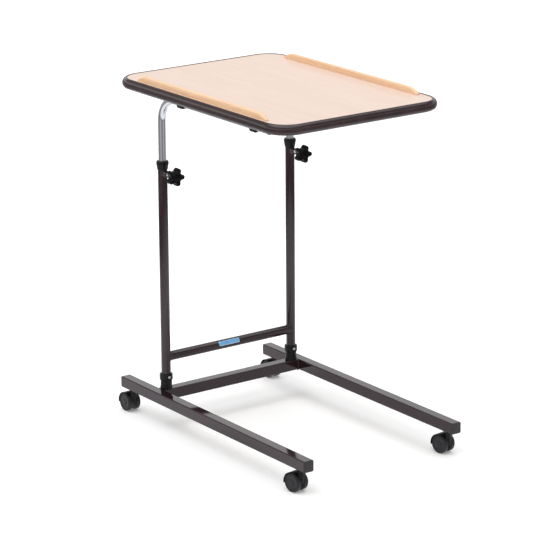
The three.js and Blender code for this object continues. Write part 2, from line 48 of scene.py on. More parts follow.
# ------------------------------------------------------------ sizes, as in the CAD model
TOP_HEIGHT = 742
TOP_WIDTH, TOP_LENGTH, TOP_CENTRE_Y = 420, 600, 26
TOP_CORNER = 55
BOARD_THICKNESS = 18
EDGING_HEIGHT, EDGING_NOSE = 21, 10.4
LIP_X, LIP_WIDTH, LIP_LENGTH, LIP_HEIGHT, LIP_GROOVE = 188.5, 9, 460, 13, 1
LIP_END_SLOPE, LIP_END_HEIGHT = 34, 2
RAIL_X, RAIL_SIZE, RAIL_WALL, RAIL_CORNER = 189, 24, 1.5, 2.5
RAIL_FRONT, RAIL_REAR, RAIL_BOTTOM = -338, 332, 50
RAIL_Z = RAIL_BOTTOM + RAIL_SIZE / 2
CAP_HEAD = 2
GAP = 0.3
POST_X, POST_Y, POST_RADIUS, TUBE_WALL = 165, 208, 10, 1.5
POST_FOOT, POST_TOP = 76, 573.5
CROSSBAR_Z = 144
SLEEVE_FOOT = 74.3
LOCK_SCREW_Z = 100.5
COLLAR_BOTTOM, COLLAR_TOP = 557, 576
KNOB_Z, KNOB_TILT = 549.5, radians(4)
RISER_RADIUS, RISER_FOOT, RISER_BEND = 8, 215, 52
ARM_Z, ARM_FRONT_Y = 713, -178
CLIP_YS = {"rear": 127, "front": -131}
CLIP_LENGTH = 14
CLIP_SLOT = {"left": 0, "right": 2.2}
STICKER_X, STICKER_LENGTH = -6, 53
CASTER_YS = {"front": -310, "rear": 304}
CASTER_TRAIL, WHEEL_RADIUS = 12, 20
SWIVEL = {"front": radians(9), "rear": 0}
SIDES = {"left": -1, "right": 1}


# ------------------------------------------------------------ materials
class Look:
    """One procedural material: a Principled shader, and helpers that wire nodes into it."""

    def __init__(self, name, **constants):
        self.material = bpy.data.materials.new(name)
        self.material.use_nodes = True
        self.nodes = self.material.node_tree.nodes
        self.links = self.material.node_tree.links
        self.shader = self.nodes["Principled BSDF"]
        for key, value in constants.items():
            self.shader.inputs[key.replace("_", " ")].default_value = value
        self.object_coordinates = self.nodes.new("ShaderNodeTexCoord").outputs["Object"]

    def feed(self, node, key, value):
        if isinstance(value, bpy.types.NodeSocket):
            self.links.new(value, node.inputs[key])
        else:
            node.inputs[key].default_value = value

    def colour(self, socket):
        self.links.new(socket, self.shader.inputs["Base Color"])

    def roughness(self, socket):
        self.links.new(socket, self.shader.inputs["Roughness"])

    def stretched(self, x, y, z):
        node = self.nodes.new("ShaderNodeMapping")
        self.feed(node, "Vector", self.object_coordinates)
        self.feed(node, "Scale", (x, y, z))
        return node.outputs["Vector"]

    def noise(self, scale, detail=2.0, where=None, distortion=0.0):
        node = self.nodes.new("ShaderNodeTexNoise")
        self.feed(node, "Vector", where or self.object_coordinates)
        self.feed(node, "Scale", scale)
        self.feed(node, "Detail", detail)
        self.feed(node, "Distortion", distortion)
        return node.outputs["Fac"]

    def cells(self, scale, where):
        node = self.nodes.new("ShaderNodeTexVoronoi")
        self.feed(node, "Vector", where)
        self.feed(node, "Scale", scale)
        return node.outputs["Distance"]

    def grain(self, x, y, z, detail, distortion=0.0):
        """Noise of x, y and z features a metre along each axis."""
        return self.noise(1, detail, self.stretched(x, y, z), distortion)

    def spread(self, value, low, high, to_low=0.0, to_high=1.0):
        node = self.nodes.new("ShaderNodeMapRange")
        self.feed(node, "Value", value)
        ends = {"From Min": low, "From Max": high, "To Min": to_low, "To Max": to_high}
        for key, end in ends.items():
            self.feed(node, key, end)
        return node.outputs["Result"]

    def maths(self, operation, first, second):
        node = self.nodes.new("ShaderNodeMath")
        node.operation = operation
        self.feed(node, 0, first)
        self.feed(node, 1, second)
        return node.outputs[0]

    def mix(self, share, first, second):
        node = self.nodes.new("ShaderNodeMix")
        node.data_type = "RGBA"
        self.feed(node, 0, share)
        for key, value in ((6, first), (7, second)):
            if isinstance(value, tuple):
                node.inputs[key].default_value = (*value, 1)
            else:
                self.links.new(value, node.inputs[key])
        return node.outputs[2]

    def patches(self, scale, detail, low, high, to_low=0.0, to_high=1.0):
        return self.spread(self.noise(scale, detail), low, high, to_low, to_high)

    def share(self, value, most):
        return self.maths("MULTIPLY", value, most)

    def edges(self, radius):
        """1 along the sharper edges of the piece, 0 on its flats and long curves."""
        bevel = self.nodes.new("ShaderNodeBevel")
        bevel.samples = 4
        self.feed(bevel, "Radius", radius * MM)
        geometry = self.nodes.new("ShaderNodeNewGeometry")
        dot = self.nodes.new("ShaderNodeVectorMath")
        dot.operation = "DOT_PRODUCT"
        self.links.new(bevel.outputs["Normal"], dot.inputs[0])
        self.links.new(geometry.outputs["Normal"], dot.inputs[1])
        return self.spread(dot.outputs["Value"], 0.985, 0.9)

    def bump(self, height, distance, strength):
        node = self.nodes.new("ShaderNodeBump")
        self.feed(node, "Strength", strength)
        self.feed(node, "Distance", distance * MM)
        self.links.new(height, node.inputs["Height"])
        self.links.new(node.outputs["Normal"], self.shader.inputs["Normal"])


def lacquer():
    """Dark brown stoved lacquer: gloss with a trace of orange peel, dust and rubbed edges."""
    look = Look("lacquer", IOR=1.56)
    tone = look.mix(look.patches(9, 3, 0.35, 0.65), (0.017, 0.0065, 0.0085), (0.026, 0.0115, 0.0135))
    fleck = look.patches(2600, 1, 0.62, 0.75)
    tone = look.mix(look.share(fleck, 0.25), tone, (0.085, 0.05, 0.05))
    rub = look.share(look.edges(1.4), look.patches(140, 3, 0.58, 0.8))
    tone = look.mix(look.share(rub, 0.3), tone, (0.13, 0.10, 0.10))
    look.colour(tone)
    haze = look.patches(26, 4, 0.3, 0.75, 0.035, 0.085)
    look.roughness(look.maths("ADD", haze, look.share(rub, 0.2)))
    look.bump(look.noise(260, 2), 0.015, 0.4)
    return look.material


def chrome():
    """Bright plated tube with faint draw lines along it and a little handling haze."""
    look = Look("chrome", Metallic=1.0)
    tone = look.mix(look.patches(14, 3, 0.35, 0.7), (0.72, 0.735, 0.76), (0.80, 0.80, 0.805))
    dull = look.patches(90, 3, 0.55, 0.75)
    tone = look.mix(look.share(dull, 0.2), tone, (0.52, 0.50, 0.48))
    look.colour(tone)
    lines = look.grain(2600, 60, 12, 2)
    haze = look.patches(40, 4, 0.35, 0.75, 0.06, 0.16)
    look.roughness(look.maths("ADD", haze, look.share(lines, 0.04)))
    look.bump(lines, 0.008, 0.5)
    return look.material


def zinc():
    """Zinc-plated steel with a soft, slightly uneven passivated finish."""
    look = Look("zinc", Metallic=1.0)
    tone = look.mix(look.patches(120, 3, 0.3, 0.7), (0.70, 0.69, 0.64), (0.78, 0.79, 0.80))
    tone = look.mix(look.share(look.edges(0.4), 0.5), tone, (0.9, 0.9, 0.9))
    look.colour(tone)
    look.roughness(look.patches(700, 3, 0.3, 0.7, 0.22, 0.42))
    look.bump(look.noise(2200, 2), 0.02, 0.4)
    return look.material


def moulded(name, dark, light, low, high, gloss=0.5, grain=1500):
    """Moulded plastic: fine spark grain, patchy sheen, paler scuffed edges."""
    look = Look(name, IOR=1.45, Specular_IOR_Level=gloss)
    tone = look.mix(look.patches(60, 4, 0.35, 0.7), dark, light)
    scuff = look.share(look.edges(0.8), look.patches(420, 3, 0.45, 0.7))
    pale = tuple(3.2 * c + 0.02 for c in light)
    look.colour(look.mix(look.share(scuff, 0.5), tone, pale))
    sheen = look.patches(45, 4, 0.3, 0.7, low, high)
    look.roughness(look.maths("ADD", sheen, look.share(scuff, 0.15)))
    look.bump(look.noise(grain, 2), 0.012, 0.6)
    return look.material


def rubber():
    """Wheel tread: matt, a little dusty, with fine turning marks."""
    look = Look("rubber", IOR=1.45)
    dust = look.patches(95, 5, 0.45, 0.75)
    tone = look.mix(look.share(dust, 0.45), (0.006, 0.006, 0.0065), (0.04, 0.037, 0.034))
    look.colour(tone)
    look.roughness(look.spread(dust, 0, 1, 0.48, 0.75))
    look.bump(look.noise(900, 3), 0.05, 0.6)
    return look.material


def laminate():
    """Pale beech print under a satin melamine surface."""
    look = Look("laminate", IOR=1.5)
    broad = look.grain(46, 2.2, 46, 3, 0.6)
    fine = look.grain(520, 14, 520, 2)
    tone = look.mix(look.spread(broad, 0.3, 0.7), (0.765, 0.59, 0.495), (0.805, 0.63, 0.535))
    tone = look.mix(look.spread(fine, 0.42, 0.78, 0, 0.35), tone, (0.655, 0.49, 0.385))
    look.colour(tone)
    look.roughness(look.patches(12, 1, 0.2, 0.8, 0.30, 0.36))
    look.bump(look.noise(260, 2), 0.006, 0.4)
    return look.material


def beech():
    """Varnished beech: warm tan, grain along the length, short dark flecks."""
    look = Look("beech", Coat_Weight=0.35, Coat_Roughness=0.22, IOR=1.48)
    bands = look.grain(230, 5, 160, 3, 1.2)
    tone = look.mix(look.spread(bands, 0.3, 0.72), (0.97, 0.68, 0.44), (0.90, 0.58, 0.34))
    fine = look.grain(1500, 30, 1500, 2)
    tone = look.mix(look.spread(fine, 0.45, 0.75, 0, 0.4), tone, (0.60, 0.30, 0.13))
    flecks = look.spread(look.cells(1, look.stretched(900, 170, 900)), 0.2, 0.07)
    tone = look.mix(look.share(flecks, 0.5), tone, (0.43, 0.20, 0.085))
    look.colour(tone)
    look.roughness(look.patches(70, 4, 0.3, 0.7, 0.36, 0.5))
    look.bump(fine, 0.03, 0.5)
    return look.material


def edging():
    """Dark brown extruded plastic strip with fine lines along it."""
    look = Look("edging", IOR=1.5)
    tone = look.mix(look.patches(22, 4, 0.35, 0.7), (0.026, 0.0125, 0.0145), (0.040, 0.0215, 0.0235))
    scuff = look.spread(look.grain(120, 120, 900, 4), 0.62, 0.8)
    look.colour(look.mix(look.share(scuff, 0.3), tone, (0.13, 0.105, 0.10)))
    look.roughness(look.patches(60, 4, 0.3, 0.7, 0.15, 0.26))
    lines = look.grain(14, 14, 2400, 2)
    look.bump(lines, 0.03, 0.5)
    return look.material


def core():
    """Raw chipboard at the cut edges of the board."""
    look = Look("core", IOR=1.45, Roughness=0.85)
    chips = look.cells(620, look.stretched(1, 1, 2.4))
    tone = look.mix(look.spread(chips, 0.1, 0.7), (0.36, 0.23, 0.12), (0.62, 0.45, 0.28))
    look.colour(tone)
    look.bump(chips, 0.15, 0.6)
    return look.material


def backing():
    """Plain off-white balancing sheet under the board."""
    look = Look("backing", IOR=1.48)
    tone = look.mix(look.patches(12, 5, 0.35, 0.7), (0.62, 0.57, 0.50), (0.70, 0.66, 0.59))
    fibre = look.spread(look.grain(700, 120, 700, 3), 0.55, 0.75)
    look.colour(look.mix(look.share(fibre, 0.25), tone, (0.50, 0.44, 0.37)))
    look.roughness(look.patches(50, 4, 0.3, 0.7, 0.5, 0.65))
    look.bump(look.noise(900, 2), 0.02, 0.4)
    return look.material


def vinyl(name, patch_scale, low, high, first, second):
    """Blank vinyl film, a little uneven in colour and sheen."""
    look = Look(name, IOR=1.5)
    look.colour(look.mix(look.patches(patch_scale, 3, low, high), first, second))
    look.roughness(look.patches(200, 3, 0.3, 0.7, 0.3, 0.45))
    look.bump(look.noise(350, 2), 0.03, 0.4)
    return look.material


LACQUER = lacquer()
CHROME = chrome()
ZINC = zinc()
BLACK = moulded("black_plastic", (0.0045, 0.0045, 0.005), (0.007, 0.007, 0.0075), 0.24, 0.36, 0.28)
GLOSS_BLACK = moulded(
    "knob_plastic", (0.0012, 0.0012, 0.0015), (0.0025, 0.0025, 0.003), 0.08, 0.16, 0.16
)
CAP_PLASTIC = moulded("cap_plastic", (0.022, 0.018, 0.019), (0.034, 0.029, 0.030), 0.34, 0.46)
CASTOR = moulded("castor_plastic", (0.004, 0.004, 0.0045), (0.007, 0.007, 0.0075), 0.26, 0.42, 0.26)
WHEEL_FACE = moulded("wheel_face", (0.016, 0.0155, 0.018), (0.024, 0.023, 0.027), 0.36, 0.5, 0.34, 1100)
NYLON = moulded("nylon", (0.66, 0.64, 0.58), (0.74, 0.72, 0.66), 0.42, 0.55, grain=900)
RUBBER = rubber()
LAMINATE = laminate()
BEECH = beech()
EDGING = edging()
CORE = core()
BACKING = backing()
STICKER = vinyl("sticker", 70, 0.35, 0.7, (0.14, 0.40, 0.76), (0.22, 0.50, 0.83))
STICKER_MARGIN = vinyl("sticker_margin", 150, 0, 1, (0.30, 0.56, 0.84), (0.40, 0.63, 0.88))


# ------------------------------------------------------------ shapes: (vertices, faces), in mm
def rounded(points, steps=4, closed=False):
    """The polyline through points (x, y) or (x, y, radius), each given radius turned into an arc."""
    made = []
    count = len(points)
    for i, point in enumerate(points):
        here = Vector(point[:2])
        radius = point[2] if len(point) > 2 else 0
        if not radius or (not closed and i in (0, count - 1)):
            made.append(tuple(here))
            continue
        back = Vector(points[i - 1][:2]) - here
        ahead = Vector(points[(i + 1) % count][:2]) - here
        half = back.angle(ahead) / 2
        cut = min(radius / tan(half), 0.49 * back.length, 0.49 * ahead.length)
        back.normalize()
        ahead.normalize()
        centre = here + (back + ahead).normalized() * (cut / cos(half))
        start, end = here + back * cut - centre, here + ahead * cut - centre
        first = atan2(start.y, start.x)
        turn = (atan2(end.y, end.x) - first + pi) % TURN - pi
        for k in range(steps + 1):
            angle = first + turn * k / steps
            reach = start.length
            made.append((centre.x + reach * cos(angle), centre.y + reach * sin(angle)))
    return made


def loft(rings, closed=False):
    """Skins rings of the same number of points; open lofts get flat end caps."""
    count = len(rings[0])
    verts = [tuple(p) for ring in rings for p in ring]
    faces = []
    last = len(rings) if closed else len(rings) - 1
    for j in range(last):
        low, high = j * count, (j + 1) % len(rings) * count
        for k in range(count):
            m = (k + 1) % count
            faces.append((low + k, low + m, high + m, high + k))
    if not closed:
        faces.append(tuple(reversed(range(count))))
        faces.append(tuple(range((len(rings) - 1) * count, len(rings) * count)))
    return verts, faces


def angles(sides):
    return [TURN * k / sides for k in range(sides)]


def lathe(profile, sides=64, closed=False):
    """Turns (radius, z) points about +Z; a zero radius is a point on the axis."""
    verts, faces, rings = [], [], []
    for radius, z in profile:
        if radius < 1e-6:
            rings.append([len(verts)])
            verts.append((0, 0, z))
            continue
        rings.append(list(range(len(verts), len(verts) + sides)))
        verts += [(radius * cos(a), radius * sin(a), z) for a in angles(sides)]
    pairs = list(zip(rings, rings[1:]))
    if closed:
        pairs.append((rings[-1], rings[0]))
    for low, high in pairs:
        for k in range(sides):
            m = (k + 1) % sides
            if len(low) == 1:
                faces.append((low[0], high[m], high[k]))
            elif len(high) == 1:
                faces.append((low[k], low[m], high[0]))
            else:
                faces.append((low[k], low[m], high[m], high[k]))
    return verts, faces


def polar(rings, sides=120):
    """Skins rings (radius at each angle, z) about +Z, closed by the first and last point."""
    verts, faces = [], []
    for radius, z in rings[1:-1]:
        for angle in angles(sides):
            r = radius(angle) if callable(radius) else radius
            verts.append((r * cos(angle), r * sin(angle), z))
    for j in range(len(rings) - 3):
        for k in range(sides):
            m = (k + 1) % sides
            faces.append((j * sides + k, j * sides + m, (j + 1) * sides + m, (j + 1) * sides + k))
    first, last = len(verts), len(verts) + 1
    verts += [(0, 0, rings[0][1]), (0, 0, rings[-1][1])]
    end = (len(rings) - 3) * sides
    for k in range(sides):
        m = (k + 1) % sides
        faces.append((first, m, k))
        faces.append((end + k, end + m, last))
    return verts, faces


def box_shape(size, centre):
    (x, y, z), (a, b, c) = centre, (s / 2 for s in size)
    rings = []
    for height in (z - c, z + c):
        corners = [(x - a, y - b), (x + a, y - b), (x + a, y + b), (x - a, y + b)]
        rings.append([(*corner, height) for corner in corners])
    return loft(rings)


def cylinder(radius, low, high, sides=48):
    return lathe([(0, low), (radius, low), (radius, high), (0, high)], sides)


def moved(shape, matrix):
    return [tuple(matrix @ Vector(v)) for v in shape[0]], *shape[1:]


def shift(x=0, y=0, z=0):
    return Matrix.Translation((x, y, z))


def turned(degrees, axis):
    return Matrix.Rotation(radians(degrees), 4, axis)


TO_FRONT = turned(90, "X")  # +Z becomes -Y
TO_SIDE = turned(90, "Y")  # +Z becomes +X


def rounded_square(size, corner, steps=5, height=0):
    half = size / 2
    corners = [(half, -half), (half, half), (-half, half), (-half, -half)]
    outline = rounded([(x, y, corner) for x, y in corners], steps, closed=True)
    return [(x, y, height) for x, y in outline]


def rounded_rectangle(width, length, corner, steps=14, pitch=20):
    """Points and outward normals round a rectangle whose corners are arcs; straight runs are split."""
    x, y = width / 2 - corner, length / 2 - corner
    made = []
    for quarter, (cx, cy) in enumerate([(x, y), (-x, y), (-x, -y), (x, -y)]):
        for k in range(steps + 1):
            angle = (quarter + k / steps) * pi / 2
            normal = Vector((cos(angle), sin(angle)))
            made.append((Vector((cx, cy)) + normal * corner, normal))
        following = [(-x, y), (-x, -y), (x, -y), (x, y)][quarter]
        start = made[-1][0]
        run = Vector(following) - Vector((cx, cy))
        parts = max(1, round(run.length / pitch))
        for k in range(1, parts):
            made.append((start + run * k / parts, normal))
    return made


# ------------------------------------------------------------ pieces
def build(name, shapes, looks):
    """An object from shapes (vertices, faces) or (vertices, faces, look number)."""
    verts, faces, numbers = [], [], []
    for shape in shapes:
        start = len(verts)
        verts += [Vector(v) * MM for v in shape[0]]
        faces += [[start + i for i in face] for face in shape[1]]
        numbers += [shape[2] if len(shape) > 2 else 0] * len(shape[1])
    mesh = bpy.data.meshes.new(name)
    mesh.from_pydata(verts, [], faces)
    mesh.polygons.foreach_set("material_index", numbers)
    made = bmesh.new()
    made.from_mesh(mesh)
    bmesh.ops.remove_doubles(made, verts=made.verts, dist=1e-6)
    bmesh.ops.recalc_face_normals(made, faces=made.faces)
    made.to_mesh(mesh)
    made.free()
    obj = bpy.data.objects.new(name, mesh)
    bpy.context.scene.collection.objects.link(obj)
    for look in looks:
        mesh.materials.append(look)
    return obj


def settle(obj):
    """Replaces the object's mesh by the result of its modifiers."""
    bpy.context.view_layer.update()
    graph = bpy.context.evaluated_depsgraph_get()
    made = bpy.data.meshes.new_from_object(obj.evaluated_get(graph))
    obj.modifiers.clear()
    obj.data = made


def carve(obj, shapes, operation="DIFFERENCE"):
    for shape in shapes:
        cutter = build("cutter", [shape], [])
        modifier = obj.modifiers.new("carve", "BOOLEAN")
        modifier.operation = operation
        modifier.solver = "EXACT"
        modifier.object = cutter
        settle(obj)
        bpy.data.objects.remove(cutter)


def soften(obj, width, segments=2, angle=40):
    modifier = obj.modifiers.new("soften", "BEVEL")
    modifier.width = width * MM
    modifier.segments = segments
    modifier.limit_method = "ANGLE"
    modifier.angle_limit = radians(angle)
    settle(obj)


def finish_piece(obj, body, nodes, sharp=38):
    obj.data.shade_smooth()
    obj.data.set_sharp_from_angle(angle=radians(sharp))
    flats = obj.modifiers.new("flats", "WEIGHTED_NORMAL")
    flats.keep_sharp = True
    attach(obj, body)
    if nodes:
        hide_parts(*nodes)
    return obj


def piece(name, shapes, look, body, slot, *nodes, sharp=38):
    looks = look if isinstance(look, list) else [look]
    return finish_piece(build(name, shapes, looks), body, nodes, sharp)


def weld_bead(points, size, ripple=2.1, sides=10):
    """A rippled weld along points (x, y, z), one vertex ring for each half ripple."""
    path = [Vector(p) for p in points]
    spaced = [path[0]]
    for a, b in zip(path, path[1:]):
        parts = max(1, ceil((b - a).length / (ripple / 3)))
        spaced += [a.lerp(b, k / parts) for k in range(1, parts + 1)]
    closed = (spaced[0] - spaced[-1]).length < 1e-6
    if closed:
        spaced.pop()
    rings = []
    along = 0
    count = len(spaced)
    for i, here in enumerate(spaced):
        ahead = spaced[(i + 1) % count] if closed or i < count - 1 else here
        behind = spaced[i - 1] if closed or i else here
        tangent = (ahead - behind).normalized()
        side = tangent.cross(Vector((0.31, 0.52, 0.79))).normalized()
        other = tangent.cross(side)
        along += (here - spaced[i - 1]).length if i else 0
        radius = size * (1 + 0.13 * cos(TURN * along / ripple) + 0.06 * sin(along * 1.7))
        if not closed and i in (0, count - 1):
            radius *= 0.45
        ring = []
        for angle in angles(sides):
            ring.append(here + radius * (cos(angle) * side + sin(angle) * other))
        rings.append(ring)
    return loft(rings, closed=closed)


def threaded(radius, low, high, pitch, depth, sides=32, steps=6):
    """A rod along +Z with a helical thread and tapered ends."""
    count = round((high - low) / pitch * steps)
    rings = []
    for j in range(count + 1):
        z = low + (high - low) * j / count
        end = min(1, (z - low) / pitch, (high - z) / pitch)
        ring = []
        for k in range(sides):
            angle = TURN * k / sides
            phase = (z / pitch - k / sides) % 1
            r = radius - depth * abs(2 * phase - 1) - depth * (1 - end)
            ring.append((r * cos(angle), r * sin(angle), z))
        rings.append(ring)
    return loft(rings)


def cross_recess(length, width):
    def radius(angle):
        small = min(abs(sin(angle)), abs(cos(angle)))
        return min(length, width / max(small, 1e-6))

    return radius


def screw_head(radius, height, shank, shank_length):
    """A pan head on +Z with a cross recess; its seat is z = 0 and its shank goes down."""
    rings = [(0, -shank_length), (shank - 0.3, -shank_length), (shank, 0.6 - shank_length), (shank, 0)]
    rings += [(radius - 0.2, 0), (radius, 0.2), (radius, 0.4 * height), (0.93 * radius, 0.75 * height)]
    rings += [(0.78 * radius, 0.95 * height), (0.64 * radius, height)]
    recess = cross_recess(0.58 * radius, 0.15 * radius)
    rings += [(recess, height), (lambda a: 0.93 * recess(a), 0.35 * height), (0, 0.3 * height)]
    return polar(rings, 64)


# ------------------------------------------------------------ base
def square_tube(length):
    """A square tube along +Z, centred, with rounded corners."""
    inner = RAIL_SIZE - 2 * RAIL_WALL
    ends = [-length / 2, length / 2]
    rings = [rounded_square(RAIL_SIZE, RAIL_CORNER, 6, z) for z in ends]
    rings += [rounded_square(inner, RAIL_CORNER - RAIL_WALL, 6, z) for z in reversed(ends)]
    return loft(rings, closed=True)


def end_cap():
    """A push-in cap whose shallow dome faces +Z; z = 0 is where its head meets the tube."""
    plug = RAIL_SIZE - 2 * (RAIL_WALL + GAP)
    sections = [
        (plug - 1.5, 1, -12), (plug, 1, -11), (plug, 1, 0), (RAIL_SIZE, RAIL_CORNER, 0),
        (RAIL_SIZE, RAIL_CORNER, 1.0), (RAIL_SIZE - 0.5, RAIL_CORNER, 1.55),
        (RAIL_SIZE - 1.5, RAIL_CORNER, 1.8), (RAIL_SIZE - 2.6, RAIL_CORNER, 1.8),
        (RAIL_SIZE - 3.2, RAIL_CORNER, 1.45), (RAIL_SIZE - 5.5, 3.2, 1.5), (RAIL_SIZE - 9, 4.2, 1.72),
        (RAIL_SIZE - 14, 4.2, 1.9), (RAIL_SIZE - 19, 2.4, 1.98),
    ]
    return loft([rounded_square(size, corner, 5, z) for size, corner, z in sections])


def make_base():
    length = RAIL_REAR - RAIL_FRONT - 2 * (CAP_HEAD + GAP)
    middle = (RAIL_REAR + RAIL_FRONT) / 2
    for side, sign in SIDES.items():
        place = shift(sign * RAIL_X, middle, RAIL_Z) @ TO_FRONT
        rail = build(f"{side}_rail_tube", [moved(square_tube(length), place)], [LACQUER])
        holes = []
        for y in CASTER_YS.values():
            holes.append(moved(cylinder(5.3, RAIL_BOTTOM - 2, RAIL_Z), shift(sign * RAIL_X, y)))
        carve(rail, holes)
        finish_piece(rail, "base", [f"{side}_rail"])
        for end, y, turn in (("front", RAIL_FRONT + CAP_HEAD, 90), ("rear", RAIL_REAR - CAP_HEAD, -90)):
            cap = moved(end_cap(), shift(sign * RAIL_X, y, RAIL_Z) @ turned(turn, "X"))
            name = f"{side}_{end}"
            piece(f"{name}_cap", [cap], CAP_PLASTIC, "base", "black_plastic", f"{name}_end_cap")

    beam_half = RAIL_X - RAIL_SIZE / 2
    shapes = [moved(square_tube(2 * beam_half - 0.1), shift(0, POST_Y, RAIL_Z) @ TO_SIDE)]
    half = RAIL_SIZE / 2
    for sign in SIDES.values():
        x = sign * (beam_half - 0.4)
        path = [(-half, half - 2), (-half, -half, 2), (half, -half, 2), (half, half - 2)]
        bead = [(x, POST_Y + y, RAIL_Z + z) for y, z in rounded(path)]
        shapes.append(weld_bead(bead, 1.5))
    piece("crossbeam_tube", shapes, LACQUER, "base", "lacquer", "crossbeam")


# ------------------------------------------------------------ posts
def round_tube(outer, inner, low, high, sides=64):
    chamfer = 0.25
    profile = [
        (inner, low + chamfer), (inner + chamfer, low), (outer - chamfer, low), (outer, low + chamfer),
        (outer, high - chamfer), (outer - chamfer, high), (inner + chamfer, high),
        (inner, high - chamfer),
    ]
    return lathe(profile, sides, closed=True)


def coped_tube(sides=96):
    """The crossbar along +X, its ends cut to the round of the posts."""
    rings = []
    for radius, ends in ((POST_RADIUS, (-1, 1)), (POST_RADIUS - TUBE_WALL, (1, -1))):
        for end in ends:
            ring = []
            for angle in angles(sides):
                y, z = radius * cos(angle), radius * sin(angle)
                ring.append((end * (POST_X - sqrt(POST_RADIUS**2 - y * y)), y, z))
            rings.append(ring)
    return loft(rings, closed=True)


def cope_weld(sign, sides=72):
    ring = []
    for k in range(sides + 1):
        angle = TURN * k / sides
        y, z = POST_RADIUS * cos(angle), POST_RADIUS * sin(angle)
        reach = sqrt(max(0.0, POST_RADIUS**2 - y * y))
        ring.append((sign * (POST_X - max(reach, 2.2) - 0.2), y * 1.01, z * 1.01))
    return weld_bead(ring, 1.25, 1.9, 8)


def sleeve_shape():
    profile = [
        (10.3, SLEEVE_FOOT), (13.2, SLEEVE_FOOT, 0.5), (13.0, 76.8, 2), (12.2, 81.3, 6),
        (12.0, 92.0, 1.2), (13.2, 93.3, 0.5), (14.0, 94.7, 0.7), (14.0, 105.8, 0.8), (13.0, 107.3, 0.8),
        (10.3, 107.3, 0.3),
    ]
    return lathe(rounded(profile, 5), 96, closed=True)


def collar_shape():
    profile = [
        (10.3, COLLAR_BOTTOM), (10.9, COLLAR_BOTTOM, 0.3), (12.5, COLLAR_BOTTOM + 9.5, 8),
        (13.1, COLLAR_BOTTOM + 12, 1.5), (13.1, COLLAR_TOP - 3.2, 1.5), (12.3, COLLAR_TOP - 0.6, 1.2),
        (10.6, COLLAR_TOP, 1), (8.3, COLLAR_TOP, 0.5), (8.3, POST_TOP + GAP), (10.3, POST_TOP + GAP),
    ]
    return lathe(rounded(profile, 5), 96, closed=True)


def weld_nut_shape(sides=64):
    """The threaded boss along +Z, seated on the round of the post (whose axis is Y here)."""
    outer, bore, reach = 7.0, 4.3, 20.0
    levels = [(bore, None), (outer, None), (outer, reach - 1), (outer - 0.3, reach - 0.3)]
    levels += [(outer - 1, reach), (bore + 0.7, reach), (bore, reach - 0.7)]
    rings = []
    for radius, height in levels:
        ring = []
        for angle in angles(sides):
            x, y = radius * cos(angle), radius * sin(angle)
            z = height if height is not None else sqrt(POST_RADIUS**2 - x * x) + 0.02
            ring.append((x, y, z))
        rings.append(ring)
    foot = []
    for k in range(sides + 1):
        angle = TURN * k / sides
        x, y = outer * cos(angle), outer * sin(angle)
        foot.append((x, y, sqrt(POST_RADIUS**2 - x * x) + 0.3))
    return [loft(rings, closed=True), weld_bead(foot, 1.1, 1.8, 8)]


def sticker_shape():
    """The sheet bent round the bar, with rounded corners."""
    radius, corner, rows, columns = POST_RADIUS + 0.05, 2.0, 18, 30
    high = radians(60)
    arc = high * radius
    verts = []
    for r in (radius, radius + 0.22):
        for j in range(rows + 1):
            along = arc * j / rows
            away = max(0.0, corner - min(along, arc - along))
            half = STICKER_LENGTH / 2 - (corner - sqrt(corner**2 - away**2))
            angle = high * j / rows
            for k in range(columns + 1):
                x = STICKER_X - half + 2 * half * k / columns
                verts.append((x, POST_Y - r * cos(angle), CROSSBAR_Z + r * sin(angle)))
    count = columns + 1
    outer = (rows + 1) * count
    faces = []
    for j in range(rows):
        for k in range(columns):
            a, b = j * count + k, (j + 1) * count + k
            faces.append((a, b, b + 1, a + 1))
            faces.append((outer + a, outer + a + 1, outer + b + 1, outer + b))
        for k in (0, columns):
            a, b = j * count + k, (j + 1) * count + k
            faces.append((a, b, outer + b, outer + a))
    for j in (0, rows):
        for k in range(columns):
            a = j * count + k
            faces.append((a, a + 1, outer + a + 1, outer + a))
    return verts, faces


def make_posts():
    for side, sign in SIDES.items():
        at = shift(sign * POST_X, POST_Y)
        tube = moved(round_tube(POST_RADIUS, POST_RADIUS - TUBE_WALL, POST_FOOT, POST_TOP), at)
        post = build(f"{side}_post_tube", [tube], [LACQUER])
        for radius, z in ((2.8, LOCK_SCREW_Z), (4.3, KNOB_Z)):
            carve(post, [moved(cylinder(radius, 0, 14), at @ shift(z=z) @ TO_FRONT)])
        finish_piece(post, "base", [f"{side}_post"])

        sleeve = build(f"{side}_sleeve", [moved(sleeve_shape(), at)], [BLACK])
        level = at @ shift(z=LOCK_SCREW_Z) @ TO_FRONT
        carve(sleeve, [moved(cylinder(5, 11, 22), level), moved(cylinder(2.8, 0, 22), level)])
        finish_piece(sleeve, "base", [f"{side}_socket_sleeve"], 30)

        screw = moved(screw_head(3.4, 2.0, 2.5, 5.8), level @ shift(z=11.2) @ turned(20, "Z"))
        piece(f"{side}_lock_screw_head", [screw], ZINC, "base", "zinc", f"{side}_lock_screw")

        collar = moved(collar_shape(), at)
        piece(f"{side}_collar", [collar], BLACK, "base", "black_plastic", f"{side}_post_collar")

        nut = [moved(shape, at @ shift(z=KNOB_Z) @ TO_FRONT) for shape in weld_nut_shape()]
        piece(f"{side}_boss", nut, LACQUER, "base", "lacquer", f"{side}_weld_nut")

    bar_at = shift(0, POST_Y, CROSSBAR_Z)
    bar = [moved(shape, bar_at) for shape in (coped_tube(), cope_weld(-1), cope_weld(1))]
    piece("crossbar_tube", bar, LACQUER, "base", "lacquer", "mid_crossbar")
    sheet = build("sticker_sheet", [sticker_shape()], [STICKER, STICKER_MARGIN])
    finish_piece(sheet, "base", ["blank_sticker"])
    for polygon in sheet.data.polygons:
        polygon.material_index = 1 if is_margin(polygon.center) else 0


